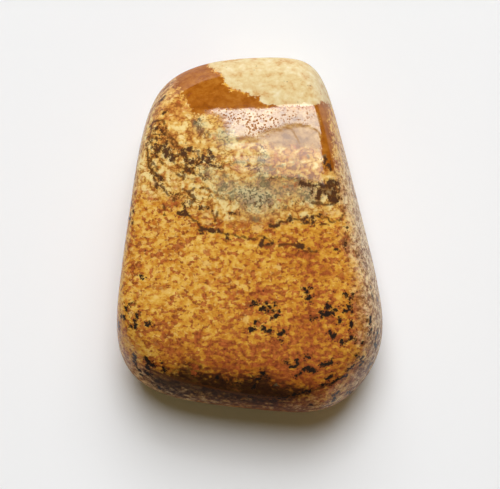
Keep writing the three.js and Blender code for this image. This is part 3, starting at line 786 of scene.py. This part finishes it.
def add_marks(paint, stone, russet):
    """The single marks, and the fine black grains around the black ones."""
    bright = paint.ramp(paint.plus(paint.level, 0.08), CELL_RAMP)
    honey = paint.blend(paint.in_cells, PALE_MARK, bright)
    brown = paint.blend(paint.in_cells, russet, UMBER_MARK)
    black = paint.lay(BLACK_MARK, SOOT_MARK, paint.cell_reach, -4.5, -2.5)
    # how much of each one's depth counts, how ragged, how strong, and where its edge lies
    for kind, shade, depth, ragged, strength, low, high in (
        ("russet", russet, 1.0, 1.0, 0.6, -0.12, 0.14),
        ("cream", honey, 1.0, 0.9, 0.7, -0.12, 0.12),
        ("olive", OLIVE_MARK, 1.0, 0.8, 0.65, -0.12, 0.12),
        ("umber", brown, 1.0, 1.0, 0.75, -0.12, 0.12),
        ("vein", VEIN_MARK, 1.0, 0.4, 0.85, -0.08, 0.06),
        ("black", VEIN_MARK, 0.8, 0.6, 0.7, -0.12, 0.0),
        ("black", black, 0.8, 0.7, 0.95, -0.03, 0.04),
    ):
        shape = paint.plus(paint.times(paint.field(kind), depth), paint.times(paint.jag, ragged))
        stone = paint.lay(stone, shade, shape, low, high, strength)
    around = paint.plus(paint.field("black"), paint.times(paint.blotches, 1.6))
    around = paint.times(paint.step(around, -0.42, -0.2), 0.85)
    grains = paint.cell_middle(paint.place, 3.4)
    return paint.lay(stone, black, grains, 0.32, 0.24, around)


def small_pits(paint):
    """How much of a place is pit: they show as dots where light glances off the polish."""
    dots = paint.cell_middle(paint.warped(paint.place, 4.0, 0.06), 4.0)
    wide = paint.plus(-0.06, paint.times(paint.field("pits"), 0.44), paint.times(paint.jag, 0.4))
    return paint.step(paint.math("SUBTRACT", dots, wide), 0.05, -0.03)


def polish(paint, pits):
    """A clear coat, worn towards the sides and missing in the pits."""
    shader = paint.shader
    shader.inputs["Roughness"].default_value = 0.5
    shader.inputs["Specular IOR Level"].default_value = 0.0
    shader.inputs["Coat Roughness"].default_value = 0.06
    shader.inputs["Coat IOR"].default_value = 1.54
    height = paint.node("SeparateXYZ", {0: paint.place}).outputs["Z"]
    rim = paint.step(height, 9.0, 5.5)
    dull = paint.step(paint.field("dark_layer_and_shade"), -2.5, -0.5)
    worn = paint.step(paint.field("face"), 1.8, 0.6)
    weight = paint.plus(1.0, paint.times(worn, -0.5), paint.times(rim, -0.25), paint.times(dull, -0.8))
    weight = paint.math("MAXIMUM", weight, 0.12)
    weight = paint.times(weight, paint.plus(1.0, paint.times(pits, -0.95)))
    paint.feed(shader.inputs["Coat Weight"], weight)
    relief = paint.plus(paint.times(pits, -1.0), paint.times(paint.jag, 0.5))
    bump = paint.node("Bump", {"Height": relief, "Strength": 1.0, "Distance": 0.00001})
    paint.feed(shader.inputs["Normal"], bump.outputs["Normal"])


def jasper_material():
    paint = JasperPainter("polished_jasper")
    russet = russet_shade(paint)
    pits = small_pits(paint)
    stone = paint.blend(paint.in_cells, golden_body(paint, russet), pale_cells(paint))
    stone = add_haze(paint, stone)
    stone = add_sides(paint, stone)
    stone = add_layers(paint, stone)
    stone = add_net(paint, stone)
    stone = add_marks(paint, stone, russet)
    stone = paint.blend(paint.times(pits, 0.75), stone, PIT_MARK)
    paint.feed(paint.shader.inputs["Base Color"], stone)
    polish(paint, pits)
    return paint.material


def paper_material():
    paint = Painter("white_paper")
    paint.shader.inputs["Base Color"].default_value = PAPER_SHADE
    paint.shader.inputs["Roughness"].default_value = PAPER_ROUGHNESS
    return paint.material


def place_camera(heart):
    """Looks straight down over the heart, as the photo does."""
    camera = bpy.data.objects.new("camera", bpy.data.cameras.new("camera"))
    camera.location = Vector((heart[0], heart[1], CAMERA_HEIGHT)) / MM_PER_METRE
    camera.data.sensor_width = SENSOR_WIDTH
    camera.data.lens = SENSOR_WIDTH * CAMERA_HEIGHT / VIEW_WIDTH
    camera.data.clip_start = NEAREST_SEEN
    bpy.context.scene.collection.objects.link(camera)
    bpy.context.scene.camera = camera


def way_towards(azimuth, elevation):
    up, around = math.radians(elevation), math.radians(azimuth)
    return Vector((math.cos(up) * math.cos(around), math.cos(up) * math.sin(around), math.sin(up)))


# The daylight comes through one tall window, whose panes share a wall that faces the stone.
WALL_AZIMUTH = 62.4
WALL_ELEVATION = 41.6
WALL_ROLL = 41.7
WALL_FACING = way_towards(WALL_AZIMUTH, WALL_ELEVATION).to_track_quat("Z", "Y").to_matrix()
WALL_TURN = WALL_FACING @ Matrix.Rotation(math.radians(WALL_ROLL), 3, "Z")
WALL_DISTANCE = 0.66  # metres
PANE_TINT = (0.98, 0.995, 0.96)
# Left, right, bottom and top of each pane in wall distances, and the radiance that a mirror sees.
PANES = (
    # the bright lower light
    (0.405, 0.423, -0.18, 0.13, 12.4), (0.385, 0.405, -0.145, 0.122, 12), (0.365, 0.385, -0.11, 0.11, 11.6),
    (0.3, 0.365, -0.085, 0.09, 11), (0.19, 0.3, -0.104, 0.086, 9.6), (0.0, 0.19, -0.102, 0.1, 10),
    (-0.3, 0.0, -0.12, 0.122, 9), (-0.55, -0.3, -0.14, 0.12, 8),
    (0.423, 0.436, -0.02, 0.145, 12), (0.436, 0.45, 0.05, 0.16, 12), (0.45, 0.462, 0.1, 0.178, 12),
    (0.462, 0.474, 0.15, 0.2, 12),
    # the dimmer upper light
    (0.45, 0.475, 0.205, 0.25, 6), (0.425, 0.45, 0.18, 0.25, 6), (0.395, 0.425, 0.158, 0.25, 6),
    (0.345, 0.395, 0.138, 0.25, 6), (0.05, 0.333, 0.123, 0.25, 6), (-0.3, 0.05, 0.14, 0.25, 6),
    (-0.2, 0.515, 0.25, 0.36, 5.5), (-0.05, 0.56, 0.36, 0.46, 4), (0.1, 0.6, 0.46, 0.57, 2.8),
)
# Soft daylight: azimuth and elevation in degrees, size in metres and radiance.
DAYLIGHT = {
    "window_light": (72, 44, 0.7, 4.8),
    "high_sky": (92, 62, 0.8, 10.6),
    "low_sky": (94, 38, 0.8, 5.0),
}
SKY_DISTANCE = 1.5  # metres
SKY_TINT = (0.93, 0.955, 1.0)
# How strongly the room glows, by how far a direction points along +Y.
GLOW = {"From Min": 0.3, "From Max": -0.5, "To Min": 0.05, "To Max": 0.2}
GLOW_SHADE = (1, 0.76, 0.36, 1)


def add_lamp(light, place, turn):
    lamp = bpy.data.objects.new(light.name, light)
    lamp.location = place
    lamp.rotation_euler = turn.to_euler()
    bpy.context.scene.collection.objects.link(lamp)
    return lamp


def add_pane(name, left, right, bottom, top, radiance):
    """A piece of the window, which only the polish mirrors."""
    light = bpy.data.lights.new(name, "AREA")
    light.shape = "RECTANGLE"
    light.size = (right - left) * WALL_DISTANCE
    light.size_y = (top - bottom) * WALL_DISTANCE
    light.energy = radiance * light.size * light.size_y * math.pi
    light.color = PANE_TINT
    place = Vector(((left + right) / 2, (bottom + top) / 2, 1)) * WALL_DISTANCE
    add_lamp(light, WALL_TURN @ place, WALL_TURN).visible_diffuse = False


def add_daylight(name, azimuth, elevation, size, radiance):
    """Soft light that the polish doesn't mirror."""
    light = bpy.data.lights.new(name, "AREA")
    light.shape = "DISK"
    light.size = size
    light.energy = radiance * math.pi * size**2 / 4 * math.pi
    light.color = SKY_TINT
    way = way_towards(azimuth, elevation)
    add_lamp(light, way * SKY_DISTANCE, way.to_track_quat("Z", "Y")).visible_glossy = False


def add_glow():
    """The world: nothing but a faint warm glow from the near side."""
    world = bpy.data.worlds.new("room")
    bpy.context.scene.world = world
    world.use_nodes = True
    nodes, links = world.node_tree.nodes, world.node_tree.links
    background = nodes["Background"]
    coords = nodes.new("ShaderNodeTexCoord")
    split = nodes.new("ShaderNodeSeparateXYZ")
    ramp = nodes.new("ShaderNodeMapRange")
    for socket, value in GLOW.items():
        ramp.inputs[socket].default_value = value
    links.new(coords.outputs["Generated"], split.inputs[0])
    links.new(split.outputs["Y"], ramp.inputs["Value"])
    links.new(ramp.outputs["Result"], background.inputs["Strength"])
    background.inputs["Color"].default_value = GLOW_SHADE


points, quads = stone_surface()
middle = (points.min(0) + points.max(0)) / 2
heart = np.array([-middle[0], -middle[1], HEART_HEIGHT])
stone_mesh = make_mesh("jasper_stone", (points + heart) / MM_PER_METRE, quads)
stone = bpy.data.objects.new("jasper_stone", stone_mesh)
bpy.context.scene.collection.objects.link(stone)
paint_fields(stone.data, points)
stone.data.materials.append(jasper_material())
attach(stone, "root")
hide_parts("picture_jasper")

# the paper that the stone lies on
bpy.ops.mesh.primitive_plane_add(size=FLOOR_SIZE, location=(0, 0, -FLOOR_DROP))
floor = bpy.context.object
floor.name = "paper_floor"
floor.data.materials.append(paper_material())

place_camera(heart)
for number, pane in enumerate(PANES):
    add_pane(f"pane_{number}", *pane)
for name, placing in DAYLIGHT.items():
    add_daylight(name, *placing)
add_glow()
bpy.context.scene.view_settings.view_transform = "Standard"
